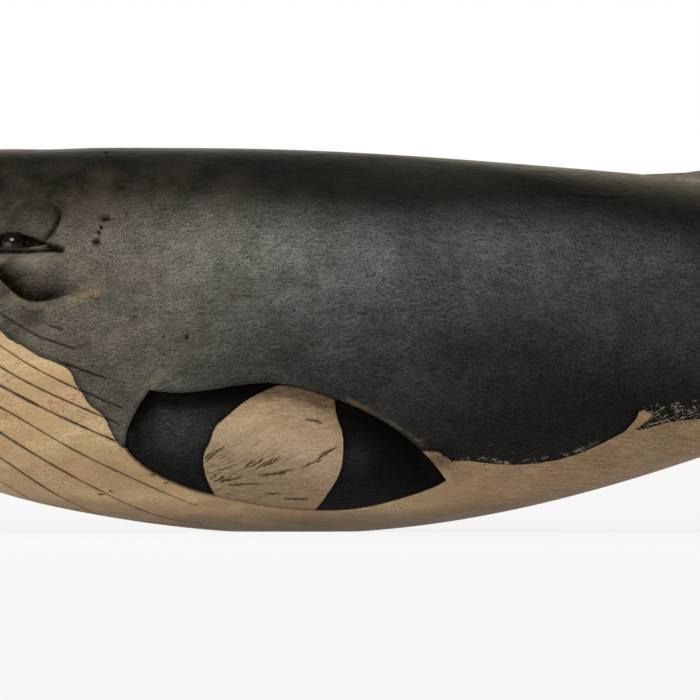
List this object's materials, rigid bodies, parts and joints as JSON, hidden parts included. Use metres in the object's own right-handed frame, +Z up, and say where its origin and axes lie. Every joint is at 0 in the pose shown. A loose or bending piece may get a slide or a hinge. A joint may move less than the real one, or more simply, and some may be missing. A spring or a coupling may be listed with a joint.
{
  "type": "carved wooden whale figurine",
  "caption": "Carved wooden whale on a planed belly flat: painted back, bare grooved throat and belly, inlaid banded flippers, swept dorsal fin, tail flukes and glass eyes.",
  "frame": {"origin": "centre of the flat planed under the belly, on the surface that the whale stands on", "axes": "+X from the snout to the tail, +Z up, the whale's left side at -Y"},
  "size_m": [0.5997, 0.152, 0.1709],
  "materials": {
    "body_wood": "thin black brushed paint over bare warm wood, satin",
    "fin_wood": "thin black brushed paint with bare wood bands, satin",
    "dowel_wood": "bare turned wood",
    "eye_glass": "polished dark glass"
  },
  "bodies": {
    "root": {"body_left_half": "body_wood", "body_right_half": "body_wood", "seam_dowels": "dowel_wood", "left_flipper": "fin_wood", "right_flipper": "fin_wood", "flipper_dowels": "dowel_wood", "left_eye": "eye_glass", "right_eye": "eye_glass", "dorsal_fin": "fin_wood", "fin_dowels": "dowel_wood", "tail_flukes": "fin_wood", "fluke_pin": "dowel_wood"}
  },
  "joints": []
}
